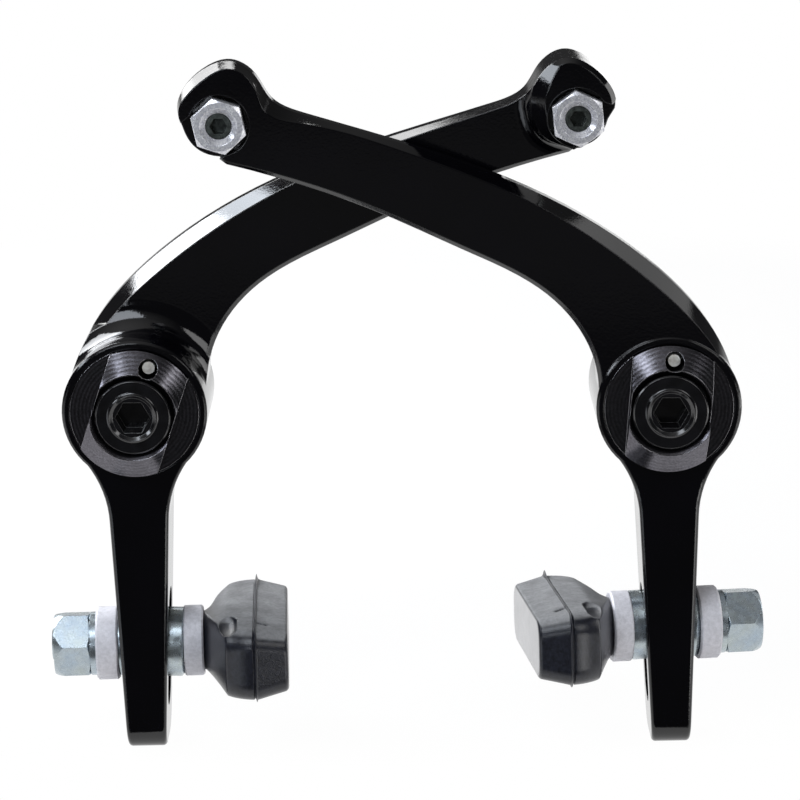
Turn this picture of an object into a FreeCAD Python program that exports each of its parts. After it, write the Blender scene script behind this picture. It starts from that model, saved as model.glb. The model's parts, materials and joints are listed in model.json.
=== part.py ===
import FreeCAD, Part
import math
import os

# A centre-pull bicycle rim brake with two crossed arms, in millimetres.
# X runs to the right, Z up, Y away from the viewer. The origin lies midway
# between the two frame studs, on the plane where the pivot sleeves seat.
# Each side is built around its own pivot as a right-hand part, with "out" as
# its first coordinate (positive away from the wheel), and then set in place.

# Mounting
STUD_SPACING = 87.0
STUD_BORE_D = 8.0
STUD_SEAT_LENGTH = 9.0

# Pivot boss, sleeve and bush, with depths counted forward from the seat plane
BOSS_D = 23.7
BOSS_FRONT = 22.0
BOSS_REAR = 0.3
BOSS_CHAMFER = 0.4
SLEEVE_D = 10.6
SLEEVE_RELIEF_D = 8.4
BUSH_D = 12.2
BUSH_REAR_INSET = 0.4
RUNNING_CLEARANCE = 0.05
SPRING_CHAMBER_D = 19.8
SPRING_CHAMBER_DEPTH = 11.7

# Spring adjuster: a turned cap with a raised, coned band between two wrench flats
CAP_D = 21.0
CAP_FLANGE = 2.5
CAP_EDGE_RISE = 0.9
CAP_CONE_RISE = 2.7
CAP_FLATS = 13.1
CAP_MOUTH_D = 14.2
CAP_MOUTH_DEPTH = 0.8
CAP_LAND = 0.1
CAP_POCKET_D = 12.6
CAP_POCKET_DEPTH = 4.4
CAP_HOLE_D = 8.2
CAP_SIDE_CLEARANCE = 0.1
CAP_SEAT_CLEARANCE = 0.3
CAP_TURN = {"left": -18.5, "right": 4.2}

# Return spring
WIRE_D = 2.0
COIL_SIDE_CLEARANCE = 0.7
COIL_FULL_TURNS = 2
COIL_END_CLEARANCE = 0.2
SPRING_HOLE_D = 3.1
SPRING_TIP_RECESS = 2.2
SPRING_SOCKET_D = 2.3
SPRING_SOCKET_DEPTH = 3.6
SPRING_LEG_DEPTH = 3.2
SPRING_SOCKET_ANGLE = 215.0

# Pivot bolt: a flat head with a raised lip round its socket
BOLT_HEAD_D = 12.2
BOLT_HEAD_HEIGHT = 4.3
BOLT_HEAD_CHAMFER = 0.2
BOLT_LIP_HEIGHT = 0.5
BOLT_SHOULDER_D = 8.0
BOLT_SHANK_D = 6.0
BOLT_TIP_GAP = 0.8
BOLT_SOCKET_AF = 5.0
BOLT_SOCKET_DEPTH = 4.4
BOLT_SOCKET_MOUTH_D = 7.6
BOLT_SOCKET_RING_D = 6.5
BOLT_SOCKET_MOUTH_DEPTH = 0.45

# Upper arms: the right one passes in front of the left one
ARM_THICKNESS = 9.0
ARM_GAP = 1.1
ARM_STEP = 0.25
ARM_BEVEL_DEPTH = 5.5
ARM_LOWER_BEVEL_DEPTH = 0.8
ARM_REAR_BEVEL = 0.6
ARM_OUTER_EDGE = [(11.6, 0.5), (8.8, 9.6), (-2.4, 22.7), (-21.9, 35.0), (-44.0, 43.2), (-58.6, 47.6)]
HEAD_EDGE = {
    "left": [
        (-64.2, 50.4), (-66.5, 54.0), (-70.8, 56.5), (-74.5, 55.1), (-77.1, 52.6), (-78.4, 49.9), (-78.4, 48.0),
    ],
    "right": [
        (-64.2, 50.4), (-66.5, 54.0), (-70.8, 56.5), (-74.8, 55.2), (-77.6, 52.8), (-79.1, 50.0), (-79.1, 48.0),
    ],
}
FRONT_ARM_BEVEL = [0.3, 1.2, 1.85, 1.1, 0.3, 0.6, 1.4, 0.6, 0.6, 0.9, 0.9, 0.6, 0.5]
REAR_ARM_BEVEL = [0.3, 1.2, 1.85, 1.2, 0.4, 0.1, 0.05, 0.05, 0.05, 0.05, 0.05, 0.05, 0.05]
HEAD_BASE_EDGE = {
    "left": [(-77.5, 45.8), (-75.6, 42.6), (-72.4, 41.4)],
    "right": [(-78.1, 45.8), (-75.9, 42.6), (-72.4, 41.4)],
}
HEAD_BASE_BEVEL = [0.4, 0.4, 0.4]
ARM_INNER_EDGE = [
    (-71.2, 40.5), (-60.0, 37.3), (-46.5, 32.3), (-33.7, 26.4), (-19.0, 18.1), (-12.8, 9.6), (-11.6, 0.5),
]
ARM_INNER_BEVEL = [0.5, 0.7, 0.7, 0.7, 0.7, 0.7, 0.4]
BOSS_FLARE = 5.0
BOSS_SKIRT_D = 27.6

# Cable head: pocket for the anchor nut, open towards the wheel's far side
ANCHOR_OUT = -72.3
ANCHOR_HEIGHT = 46.8
NUT_POCKET_DEPTH = 3.2
NUT_POCKET_D = 9.8
NUT_CHANNEL_WIDTH = 8.4
NUT_CHANNEL_ANGLE = {"left": 26.0, "right": 39.5}
REAR_HEAD_RISE = 5.3
REAR_HEAD_SPOTFACE_D = 13.0
REAR_HEAD_SPOTFACE = 2.0
REAR_HEAD_INNER_EDGE = [
    (-74.5, 39.5), (-71.0, 41.7), (-67.0, 43.4), (-64.8, 48.0), (-66.0, 54.0), (-69.5, 60.0),
]
REAR_HEAD_FLARE = 2.6
REAR_HEAD_FLARE_STEPS = 4
REAR_HEAD_CHAMFER = 2.3
REAR_HEAD_CHAMFER_DEPTH = 2.0
REAR_HEAD_RIM = 0.8
REAR_HEAD_RIM_DEPTH = 1.0
REAR_LIP_RADIUS = 0.8

# Anchor bolt, washer and nut
ANCHOR_BOLT_D = 4.2
ANCHOR_HOLE_D = 5.3
ANCHOR_HEAD_D = 8.4
ANCHOR_HEAD_HEIGHT = 5.0
ANCHOR_HEAD_CHAMFER = 0.6
CABLE_HOLE_D = 2.0
ANCHOR_TIP_RECESS = 0.9
ANCHOR_TIP_D = 3.8
ANCHOR_SOCKET_AF = 2.5
ANCHOR_SOCKET_DEPTH = 2.2
ANCHOR_WASHER_D = 10.0
ANCHOR_WASHER_T = 1.2
ANCHOR_NUT_AF = 8.0
ANCHOR_NUT_HEIGHT = 4.7
ANCHOR_NUT_MOUTH_D = 6.0
ANCHOR_NUT_TURN = {"left": 24.5, "right": 42.3}
THREAD_CLEARANCE = 0.02

# Lower arm with its pad slot
LOWER_DEPTH = 14.0
LOWER_BOTTOM = -58.2
LOWER_SHOULDER = [(8.7, -7.9), (6.1, -12.4), (4.85, -18.5)]
LOWER_FOOT_OUT = 3.4
LOWER_FOOT_IN = -2.95
LOWER_END_RADIUS = 4.4
LOWER_EDGE_ROUND = 0.7
SLOT_WIDTH = 7.0
SLOT_TOP = -31.5
SLOT_BOTTOM = -52.0
SLOT_BACK_FROM_FRONT = 7.0

# Pad, its stud and the ball-and-dish washers
PAD_HEIGHT_ON_ARM = {"left": -41.0, "right": -38.7}
PAD_TOE = {"left": -1.9, "right": 5.4}
STUD_D = 6.0
STUD_PLATE_D = 7.0
STUD_PLATE_T = 1.6
STUD_PLATE_INSET = 3.4
STUD_PROUD = 0.4
DOME_INNER_D = 11.6
DOME_INNER_RIM = 2.2
DOME_OUTER_D = 11.0
DOME_OUTER_RIM = 0.5
DOME_HOLE_D = 7.6
DISH_CLEARANCE = 0.15
DISH_INNER_D = 11.8
DISH_OUTER_D = 12.2
DISH_INNER_T = 3.4
DISH_OUTER_T = 3.7
DISH_EDGE = 0.3
WASHER_D = 10.6
WASHER_T = 1.0
PAD_NUT_AF = 10.0
PAD_NUT_HEIGHT = 6.0
PAD_NUT_TAPER = 1.6
PAD_NUT_TURN = 10.5
PAD_NECK_TO_RIDGE = 8.8
PAD_RIDGE_TO_FACE = 5.3
PAD_LENGTH = 36.0
PAD_HEIGHT = 12.0
PAD_FACE_LENGTH = 33.6
PAD_FACE_HEIGHT = 9.4
PAD_NECK_D = 8.0
PAD_CORNER = 2.6

# Lean of each leg about its pivot, counted with the foot going towards the wheel
LEG_LEAN = {"left": 0.75, "right": -0.75}

# Levels that follow from the sizes above; negative is towards the viewer
FRONT_ARM_FACE = -(BOSS_FRONT - ARM_STEP)
FRONT_ARM_BACK = FRONT_ARM_FACE + ARM_THICKNESS
REAR_ARM_FACE = FRONT_ARM_BACK + ARM_GAP
REAR_ARM_BACK = REAR_ARM_FACE + ARM_THICKNESS
CAP_LEDGE = -BOSS_FRONT
CAP_BACK = CAP_LEDGE + CAP_FLANGE
CAP_TOP = CAP_LEDGE - CAP_EDGE_RISE - CAP_CONE_RISE
CHAMBER_FLOOR = -BOSS_FRONT + SPRING_CHAMBER_DEPTH
COIL_D = SPRING_CHAMBER_D - WIRE_D - 2 * COIL_SIDE_CLEARANCE
BOLT_SEAT = CAP_TOP + CAP_POCKET_DEPTH
SLOT_CENTRE = -BOSS_FRONT + SLOT_BACK_FROM_FRONT
DISH_INNER = (DISH_INNER_D, DISH_INNER_T)
DISH_OUTER = (DISH_OUTER_D, DISH_OUTER_T)
ARM_BEVELS = {
    "left": [REAR_ARM_BEVEL, HEAD_BASE_BEVEL, ARM_INNER_BEVEL],
    "right": [FRONT_ARM_BEVEL, HEAD_BASE_BEVEL, ARM_INNER_BEVEL],
}
SIDES = ("left", "right")
ARM_EDGES = {side: [ARM_OUTER_EDGE + HEAD_EDGE[side], HEAD_BASE_EDGE[side], ARM_INNER_EDGE] for side in SIDES}
Y_AXIS = FreeCAD.Vector(0, 1, 0)


def vec(out, depth, up):
    """A point of the working side: outwards, into the picture, upwards."""
    return FreeCAD.Vector(out, depth, up)


def revolve(profile):
    """A turned piece about the Y axis from (radius, depth) corners.

    A corner with two more numbers is reached by an arc through that radius and depth.
    """
    corners = [vec(corner[0], corner[1], 0) for corner in profile]
    edges = []
    for i, corner in enumerate(profile):
        if len(corner) == 4:
            edges.append(Part.Arc(corners[i - 1], vec(corner[2], corner[3], 0), corners[i]).toShape())
        else:
            edges.append(Part.makeLine(corners[i - 1], corners[i]))
    return Part.Face(Part.Wire(edges)).revolve(vec(0, 0, 0), Y_AXIS, 360)


def cylinder(diameter, start, end, out=0.0, up=0.0):
    """A round bar or hole along Y between two depths."""
    return Part.makeCylinder(diameter / 2, end - start, vec(out, start, up), Y_AXIS)


def hexagon(across_flats, start, end, turn=0.0):
    """A hexagonal prism along Y, with a corner pointing out when turn is zero."""
    radius = across_flats / math.sqrt(3)
    angles = [math.radians(60 * i + turn) for i in range(6)]
    corners = [vec(radius * math.cos(a), start, radius * math.sin(a)) for a in angles]
    face = Part.Face(Part.makePolygon(corners + corners[:1]))
    return face.extrude(vec(0, end - start, 0))


def chamfered_hexagon(across_flats, start, end, front, rear, turn=0.0):
    """A hexagon whose two ends are turned to a cone of the given lengths."""
    corner = across_flats / math.sqrt(3)
    flat = across_flats / 2
    envelope = revolve([
        (0, start), (flat - 0.1, start), (corner, start + front),
        (corner, end - rear), (flat - 0.1, end), (0, end),
    ])
    return hexagon(across_flats, start, end, turn).common(envelope)


def inset(points, widths):
    """Move each point of an edge to its left by its own width."""
    moved = []
    last = len(points) - 1
    for i, (u, z) in enumerate(points):
        before = points[max(i - 1, 0)]
        after = points[min(i + 1, last)]
        du, dz = after[0] - before[0], after[1] - before[1]
        length = math.hypot(du, dz)
        moved.append((u - widths[i] * dz / length, z + widths[i] * du / length))
    return moved


def curve(points, depth):
    """A smooth curve through points of the working side at one depth."""
    if len(points) == 2:
        return Part.makeLine(vec(points[0][0], depth, points[0][1]), vec(points[1][0], depth, points[1][1]))
    spline = Part.BSplineCurve()
    spline.interpolate([vec(u, depth, z) for u, z in points])
    return spline.toShape()


def outline(edges, depth):
    """A closed wire from edges that follow each other, bridged by straight lines."""
    pieces = []
    for i, points in enumerate(edges):
        following = edges[(i + 1) % len(edges)]
        pieces.append(curve(points, depth))
        if math.dist(points[-1], following[0]) > 1e-6:
            pieces.append(curve([points[-1], following[0]], depth))
    return Part.Wire(pieces)


def upper_arm(face, back, side):
    """The curved arm and its cable head: a deep bevel along the top, a shallow one below."""
    share = 1 - ARM_LOWER_BEVEL_DEPTH / ARM_BEVEL_DEPTH
    edges, bevels = ARM_EDGES[side], ARM_BEVELS[side]
    front = [inset(e, w) for e, w in zip(edges, bevels)]
    part_way = [inset(edges[0], [share * w for w in bevels[0]])] + edges[1:]
    rear = [inset(e, [ARM_REAR_BEVEL] * len(e)) for e in edges]
    sections = [
        outline(rear, back),
        outline(edges, back - ARM_REAR_BEVEL),
        outline(edges, face + ARM_BEVEL_DEPTH),
        outline(part_way, face + ARM_LOWER_BEVEL_DEPTH),
        outline(front, face),
    ]
    return Part.makeLoft(sections, True, True)


def boss():
    """The pivot boss before boring."""
    r = BOSS_D / 2
    return revolve([
        (0, -BOSS_FRONT), (r - BOSS_CHAMFER, -BOSS_FRONT), (r, -BOSS_FRONT + BOSS_CHAMFER),
        (r, -BOSS_REAR - BOSS_CHAMFER), (r - BOSS_CHAMFER, -BOSS_REAR), (0, -BOSS_REAR),
    ])


def lower_arm():
    """The straight lower leg, flared into the boss and rounded at its end."""
    top, end = LOWER_SHOULDER[0], LOWER_SHOULDER[-1]
    face = -BOSS_FRONT
    shoulder_out = Part.Arc(*[vec(out, face, up) for out, up in LOWER_SHOULDER])
    shoulder_in = Part.Arc(*[vec(-out, face, up) for out, up in reversed(LOWER_SHOULDER)])
    foot_out = vec(LOWER_FOOT_OUT, face, LOWER_BOTTOM)
    foot_in = vec(LOWER_FOOT_IN, face, LOWER_BOTTOM)
    pieces = [
        shoulder_out.toShape(),
        Part.makeLine(vec(end[0], face, end[1]), foot_out),
        Part.makeLine(foot_out, foot_in),
        Part.makeLine(foot_in, vec(-end[0], face, end[1])),
        shoulder_in.toShape(),
        Part.makeLine(vec(-top[0], face, top[1]), vec(top[0], face, top[1])),
    ]
    leg = Part.Face(Part.Wire(pieces)).extrude(vec(0, LOWER_DEPTH, 0))
    ends = [e for e in leg.Edges if across(e) and low(e)]
    leg = leg.makeFillet(LOWER_END_RADIUS, ends)
    long_edges = [e for e in leg.Edges if runs_down(e)]
    return leg.makeFillet(LOWER_EDGE_ROUND, long_edges)


def across(edge):
    """True for an edge of the leg's foot that lies along X."""
    box = edge.BoundBox
    return box.XLength > 1 and box.YLength < 1e-6 and box.ZLength < 1e-6


def low(edge):
    """True for an edge at the very end of the leg."""
    return abs(edge.BoundBox.ZMin - LOWER_BOTTOM) < 1e-6


def runs_down(edge):
    """True for the straight corner edges along the leg."""
    box = edge.BoundBox
    return box.ZLength > LOWER_END_RADIUS * 4 and box.YLength < 1e-6


def pad_slot():
    """The slot through the leg that the pad stud is clamped in."""
    half = SLOT_WIDTH / 2
    reach = LOWER_SHOULDER[0][0] * 2
    top = SLOT_TOP - half
    bottom = SLOT_BOTTOM + half
    block = Part.makeBox(reach, SLOT_WIDTH, top - bottom, vec(-reach / 2, SLOT_CENTRE - half, bottom))
    along = vec(1, 0, 0)
    ends = [Part.makeCylinder(half, reach, vec(-reach / 2, SLOT_CENTRE, z), along) for z in (top, bottom)]
    return block.fuse(ends)


def nut_pocket(face, side):
    """The round nut pocket with its channel running off the head."""
    depth = face + NUT_POCKET_DEPTH
    front = face - REAR_HEAD_RISE
    pocket = cylinder(NUT_POCKET_D, front, depth, ANCHOR_OUT, ANCHOR_HEIGHT)
    channel = Part.makeBox(NUT_POCKET_D * 2, depth - front, NUT_CHANNEL_WIDTH,
                           vec(-NUT_POCKET_D * 2, front, -NUT_CHANNEL_WIDTH / 2))
    channel.rotate(vec(0, 0, 0), Y_AXIS, -NUT_CHANNEL_ANGLE[side])
    channel.translate(vec(ANCHOR_OUT, 0, ANCHOR_HEIGHT))
    return pocket.fuse(channel)


def boss_bores():
    """Bush seat, spring chamber and the seat of the adjuster cap."""
    seat = cylinder(BUSH_D, -BOSS_FRONT - 1, 0)
    chamber = cylinder(SPRING_CHAMBER_D, -BOSS_FRONT - 1, CHAMBER_FLOOR)
    cap_seat = cylinder(CAP_D + 2 * CAP_SIDE_CLEARANCE, -BOSS_FRONT - 1, CAP_BACK + CAP_SEAT_CLEARANCE)
    angle = math.radians(SPRING_SOCKET_ANGLE)
    socket = cylinder(SPRING_SOCKET_D, CHAMBER_FLOOR - 1, CHAMBER_FLOOR + SPRING_SOCKET_DEPTH,
                      COIL_D / 2 * math.sin(angle), COIL_D / 2 * math.cos(angle))
    return seat.fuse([chamber, cap_seat, socket])


def flare_point(turn):
    """A point (radius, depth) of the hollow fillet, at a turn in degrees from the boss wall."""
    a = math.radians(turn)
    return BOSS_D / 2 + BOSS_FLARE * (1 - math.cos(a)), REAR_ARM_FACE - BOSS_FLARE * (1 - math.sin(a))


def boss_flare():
    """The hollow fillet from the rear arm up to its boss; near the boss it runs out to the arm's edge."""
    r = BOSS_D / 2
    top = REAR_ARM_FACE - BOSS_FLARE
    hollow = revolve([(0, REAR_ARM_FACE), (0, top), (r, top), flare_point(90) + flare_point(45)])
    inner = [inset(e, w) for e, w in zip(ARM_EDGES["left"], ARM_BEVELS["left"])]
    limit = Part.Face(outline(inner, top)).extrude(vec(0, BOSS_FLARE, 0))
    turn = math.degrees(math.acos(1 - (BOSS_SKIRT_D / 2 - r) / BOSS_FLARE))
    low = REAR_ARM_FACE + ARM_BEVEL_DEPTH
    skirt = revolve([
        (0, low), (0, top), (r, top), flare_point(turn) + flare_point(turn / 2), (BOSS_SKIRT_D / 2, low),
    ])
    edge = Part.Face(outline(ARM_EDGES["left"], top)).extrude(vec(0, low - top, 0))
    return hollow.common(limit).fuse(skirt.common(edge))


def head_limit(spread, depth):
    """The region of the raised head at one depth, its arm side moved out by the spread."""
    inner = inset(REAR_HEAD_INNER_EDGE, [-spread] * len(REAR_HEAD_INNER_EDGE))
    beyond = 2 * HEAD_EDGE["left"][-1][0] - inner[-1][0]
    return outline([inner, [(beyond, inner[-1][1]), (beyond, inner[0][1])]], depth)


def raised_head():
    """The rear arm's head, standing forward of its arm with a hollow base and a chamfered face."""
    base = REAR_ARM_FACE + ARM_BEVEL_DEPTH
    front = REAR_ARM_FACE - REAR_HEAD_RISE
    top_edge, base_edge, inner_edge = ARM_EDGES["left"]
    wall = [top_edge, inset(base_edge, HEAD_BASE_BEVEL), inset(inner_edge, ARM_INNER_BEVEL)]
    rim = [inset(e, [REAR_HEAD_RIM] * len(e)) for e in wall]
    blank = Part.makeLoft(
        [outline(wall, base), outline(wall, front + REAR_HEAD_RIM_DEPTH), outline(rim, front)], True, True
    )
    foot = Part.Face(head_limit(REAR_HEAD_FLARE, REAR_ARM_FACE)).extrude(vec(0, ARM_BEVEL_DEPTH, 0))
    hollow = []
    for i in range(REAR_HEAD_FLARE_STEPS + 1):
        a = math.radians(90 * i / REAR_HEAD_FLARE_STEPS)
        height = REAR_HEAD_FLARE * (1 - math.cos(a))
        hollow.append(head_limit(REAR_HEAD_FLARE * (1 - math.sin(a)), REAR_ARM_FACE - height))
    crown = [
        head_limit(0, REAR_ARM_FACE - REAR_HEAD_FLARE),
        head_limit(0, front + REAR_HEAD_CHAMFER_DEPTH),
        head_limit(-REAR_HEAD_CHAMFER, front),
    ]
    limit = foot.fuse([Part.makeLoft(hollow, True, False), Part.makeLoft(crown, True, True)])
    return blank.common(limit)


def lip_end(face):
    """What is cut from the sharp tip of the rear head's lip to round it."""
    a = math.radians(NUT_CHANNEL_ANGLE["left"])
    half = NUT_CHANNEL_WIDTH / 2
    tip_out = HEAD_EDGE["left"][-1][0]
    run = (ANCHOR_OUT - half * math.sin(a) - tip_out) / math.cos(a)
    tip_up = ANCHOR_HEIGHT + half * math.cos(a) - run * math.sin(a)
    wedge = (math.pi / 2 - a) / 2
    reach = REAR_LIP_RADIUS / math.tan(wedge)
    centre_out = tip_out + REAR_LIP_RADIUS
    centre_up = tip_up + reach
    depth = face + NUT_POCKET_DEPTH
    corners = [
        (tip_out - 0.5, centre_up), (tip_out - 0.5, tip_up - 1),
        (tip_out + reach * math.cos(a) + math.sin(a), tip_up + reach * math.sin(a) - math.cos(a)),
        (tip_out + reach * math.cos(a), tip_up + reach * math.sin(a)), (centre_out, centre_up),
    ]
    points = [vec(u, face - 1, z) for u, z in corners]
    blank = Part.Face(Part.makePolygon(points + points[:1])).extrude(vec(0, depth - face + 1, 0))
    return blank.cut(cylinder(2 * REAR_LIP_RADIUS, face - 2, depth + 1, centre_out, centre_up))


def lean(shape, side):
    """Turn a piece about the pivot by its leg's lean."""
    shape.rotate(vec(0, 0, 0), Y_AXIS, LEG_LEAN[side])
    return shape


def arm(side):
    """One forged arm with all its bores, pocket and slot."""
    leg = lean(lower_arm(), side)
    if side == "right":
        face, back = FRONT_ARM_FACE, FRONT_ARM_BACK
        blank = boss().fuse([upper_arm(face, back, side), leg])
        head_face, head_back = face, back
    else:
        face, back = REAR_ARM_FACE, REAR_ARM_BACK
        blank = boss().fuse([upper_arm(face, back, side), leg, boss_flare(), raised_head()])
        head_face, head_back = face - REAR_HEAD_RISE, back
    cuts = [boss_bores(), lean(pad_slot(), side), nut_pocket(head_face, side)]
    cuts.append(cylinder(ANCHOR_HOLE_D, head_face, head_back + 1, ANCHOR_OUT, ANCHOR_HEIGHT))
    if side == "left":
        spot = head_back - REAR_HEAD_SPOTFACE
        cuts.append(cylinder(REAR_HEAD_SPOTFACE_D, spot, head_back + 1, ANCHOR_OUT, ANCHOR_HEIGHT))
        cuts.append(lip_end(head_face))
    return blank.cut(cuts).removeSplitter()


def anchor_levels(side):
    """Pocket floor and washer seat of a head."""
    if side == "right":
        return FRONT_ARM_FACE + NUT_POCKET_DEPTH, FRONT_ARM_BACK
    front = REAR_ARM_FACE - REAR_HEAD_RISE
    return front + NUT_POCKET_DEPTH, REAR_ARM_BACK - REAR_HEAD_SPOTFACE


def at_anchor(shape):
    """Carry a piece from the Y axis to the anchor bolt's axis."""
    shape.translate(vec(ANCHOR_OUT, 0, ANCHOR_HEIGHT))
    return shape


def anchor_nut(side):
    """The hexagon nut in the head's pocket, countersunk in front."""
    floor, _ = anchor_levels(side)
    front = floor - ANCHOR_NUT_HEIGHT
    body = chamfered_hexagon(ANCHOR_NUT_AF, front, floor, 0.45, 0.3, ANCHOR_NUT_TURN[side])
    thread = ANCHOR_BOLT_D / 2 + THREAD_CLEARANCE
    mouth = ANCHOR_NUT_MOUTH_D / 2
    bore = revolve([
        (0, front - 1), (mouth + 1, front - 1), (thread, front + mouth - thread),
        (thread, floor + 1), (0, floor + 1),
    ])
    return at_anchor(body.cut(bore))


def anchor_washer(side):
    """The clamping washer behind the head."""
    _, seat = anchor_levels(side)
    ring = cylinder(ANCHOR_WASHER_D, seat, seat + ANCHOR_WASHER_T)
    return at_anchor(ring.cut(cylinder(ANCHOR_HOLE_D, seat - 1, seat + ANCHOR_WASHER_T + 1)))


def anchor_bolt(side):
    """The cable bolt: cross-drilled head behind, hexagon socket in its front end."""
    floor, seat = anchor_levels(side)
    tip = floor - ANCHOR_NUT_HEIGHT + ANCHOR_TIP_RECESS
    under_head = seat + ANCHOR_WASHER_T
    end = under_head + ANCHOR_HEAD_HEIGHT
    r, tip_r, head_r = ANCHOR_BOLT_D / 2, ANCHOR_TIP_D / 2, ANCHOR_HEAD_D / 2
    body = revolve([
        (0, tip), (tip_r, tip), (r, tip + r - tip_r), (r, under_head), (head_r, under_head),
        (head_r, end - ANCHOR_HEAD_CHAMFER), (head_r - ANCHOR_HEAD_CHAMFER, end), (0, end),
    ])
    socket = hexagon(ANCHOR_SOCKET_AF, tip - 1, tip + ANCHOR_SOCKET_DEPTH)
    hole_depth = under_head + ANCHOR_HEAD_HEIGHT / 2
    low_end = vec(0, hole_depth, -ANCHOR_HEAD_D)
    cable = Part.makeCylinder(CABLE_HOLE_D / 2, ANCHOR_HEAD_D * 2, low_end, vec(0, 0, 1))
    return at_anchor(body.cut([socket, cable]))


def pivot_sleeve():
    """The sleeve that sits on the frame stud; its bore widens in front."""
    ring = cylinder(SLEEVE_D, CAP_BACK, 0)
    seat = cylinder(STUD_BORE_D, -STUD_SEAT_LENGTH, 1)
    relief = cylinder(SLEEVE_RELIEF_D, CAP_BACK - 1, -STUD_SEAT_LENGTH)
    return ring.cut([seat, relief])


def pivot_bush():
    """The plain bearing pressed into the arm."""
    start = CHAMBER_FLOOR
    end = -BOSS_REAR - BUSH_REAR_INSET
    return cylinder(BUSH_D, start, end).cut(cylinder(SLEEVE_D + 2 * RUNNING_CLEARANCE, start - 1, end + 1))


def spring_adjuster(side):
    """The cap that holds the spring's front end."""
    mouth_r, pocket_r, hole_r = CAP_MOUTH_D / 2, CAP_POCKET_D / 2, CAP_HOLE_D / 2
    cap = revolve([
        (0, CAP_TOP), (mouth_r + CAP_LAND, CAP_TOP), (CAP_D / 2, CAP_LEDGE - CAP_EDGE_RISE),
        (CAP_D / 2, CAP_BACK), (0, CAP_BACK),
    ])
    pocket = revolve([
        (0, CAP_TOP - 1), (mouth_r, CAP_TOP - 1), (mouth_r, CAP_TOP), (pocket_r, CAP_TOP + CAP_MOUTH_DEPTH),
        (pocket_r, BOLT_SEAT), (hole_r, BOLT_SEAT), (hole_r, CAP_BACK + 1), (0, CAP_BACK + 1),
    ])
    cuts = [pocket, cylinder(SPRING_HOLE_D, CAP_TOP - 1, CAP_BACK + 1, 0, COIL_D / 2)]
    for low_out in (CAP_FLATS / 2, -CAP_FLATS / 2 - CAP_D):
        corner = vec(low_out, CAP_TOP - 1, -CAP_D)
        cuts.append(Part.makeBox(CAP_D, CAP_LEDGE - CAP_TOP + 1, CAP_D * 2, corner))
    cap = cap.cut(cuts)
    cap.rotate(vec(0, 0, 0), Y_AXIS, CAP_TURN[side])
    return cap


def coil_arc(index, sweep, pitch):
    """One half turn of the coil, or less: a piece of a ring tilted so that it climbs."""
    section = Part.makeCircle(WIRE_D / 2, vec(0, 0, COIL_D / 2), vec(1, 0, 0))
    arc = Part.Face(Part.Wire(section)).revolve(vec(0, 0, 0), Y_AXIS, sweep)
    arc.rotate(vec(0, 0, 0), Y_AXIS, 180 * index)
    tilt = math.degrees(math.asin(pitch / 2 / COIL_D))
    arc.rotate(vec(0, 0, 0), vec(1, 0, 0), tilt if index % 2 == 0 else -tilt)
    arc.translate(vec(0, (2 * index + 1) * pitch / 4, 0))
    return arc


def return_spring(side):
    """The torsion spring: a leg into the cap, coils, and a leg into the arm."""
    wire_r, coil_r = WIRE_D / 2, COIL_D / 2
    start = CAP_BACK + wire_r + COIL_END_CLEARANCE
    end = CHAMBER_FLOOR - wire_r - COIL_END_CLEARANCE
    sweep = 360 * COIL_FULL_TURNS + (SPRING_SOCKET_ANGLE - CAP_TURN[side]) % 360
    halves = int(sweep // 180)
    remainder = sweep - 180 * halves
    climbs = halves + (1 - math.cos(math.radians(remainder))) / 2
    pitch = 2 * (end - start) / climbs
    arcs = [coil_arc(i, 180, pitch) for i in range(halves)]
    arcs.append(coil_arc(halves, remainder, pitch))
    coil = arcs[0].fuse(arcs[1:])
    coil.rotate(vec(0, 0, 0), Y_AXIS, CAP_TURN[side])
    coil.translate(vec(0, start, 0))
    legs = []
    front_leg = (CAP_TURN[side], CAP_TOP + SPRING_TIP_RECESS, start)
    rear_leg = (SPRING_SOCKET_ANGLE, end, CHAMBER_FLOOR + SPRING_LEG_DEPTH)
    for angle, first, last in (front_leg, rear_leg):
        out = coil_r * math.sin(math.radians(angle))
        up = coil_r * math.cos(math.radians(angle))
        elbow = start if last == start else end
        legs.append(cylinder(WIRE_D, first, last, out, up))
        legs.append(Part.makeSphere(wire_r, vec(out, elbow, up)))
    return coil.fuse(legs).removeSplitter()


def pivot_bolt():
    """The flat-headed bolt that clamps the cap and sleeve to the frame stud."""
    head_r, shoulder_r, shank_r = BOLT_HEAD_D / 2, BOLT_SHOULDER_D / 2, BOLT_SHANK_D / 2
    mouth_r, ring_r = BOLT_SOCKET_MOUTH_D / 2, BOLT_SOCKET_RING_D / 2
    face = BOLT_SEAT - BOLT_HEAD_HEIGHT
    lip = face - BOLT_LIP_HEIGHT
    floor = lip + BOLT_SOCKET_MOUTH_DEPTH
    cove = BOLT_LIP_HEIGHT * (1 - math.sqrt(0.5))
    tip = -STUD_SEAT_LENGTH - BOLT_TIP_GAP
    body = revolve([
        (0, floor), (ring_r, floor), (mouth_r, lip),
        (mouth_r + BOLT_LIP_HEIGHT, face, mouth_r + cove, face - cove),
        (head_r - BOLT_HEAD_CHAMFER, face), (head_r, face + BOLT_HEAD_CHAMFER), (head_r, BOLT_SEAT),
        (shoulder_r, BOLT_SEAT), (shoulder_r, CAP_BACK), (shank_r, CAP_BACK), (shank_r, tip), (0, tip),
    ])
    return body.cut(hexagon(BOLT_SOCKET_AF, lip, lip + BOLT_SOCKET_DEPTH))


def leg_face(height, sign):
    """Out coordinate of the leg's outer (+1) or inner (-1) face at a height, and its slope in degrees."""
    top_out, top_up = LOWER_SHOULDER[-1]
    foot = LOWER_FOOT_OUT if sign > 0 else LOWER_FOOT_IN
    run = (sign * top_out - foot) / (top_up - LOWER_BOTTOM)
    return foot + run * (height - LOWER_BOTTOM), math.degrees(math.atan(run))


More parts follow.
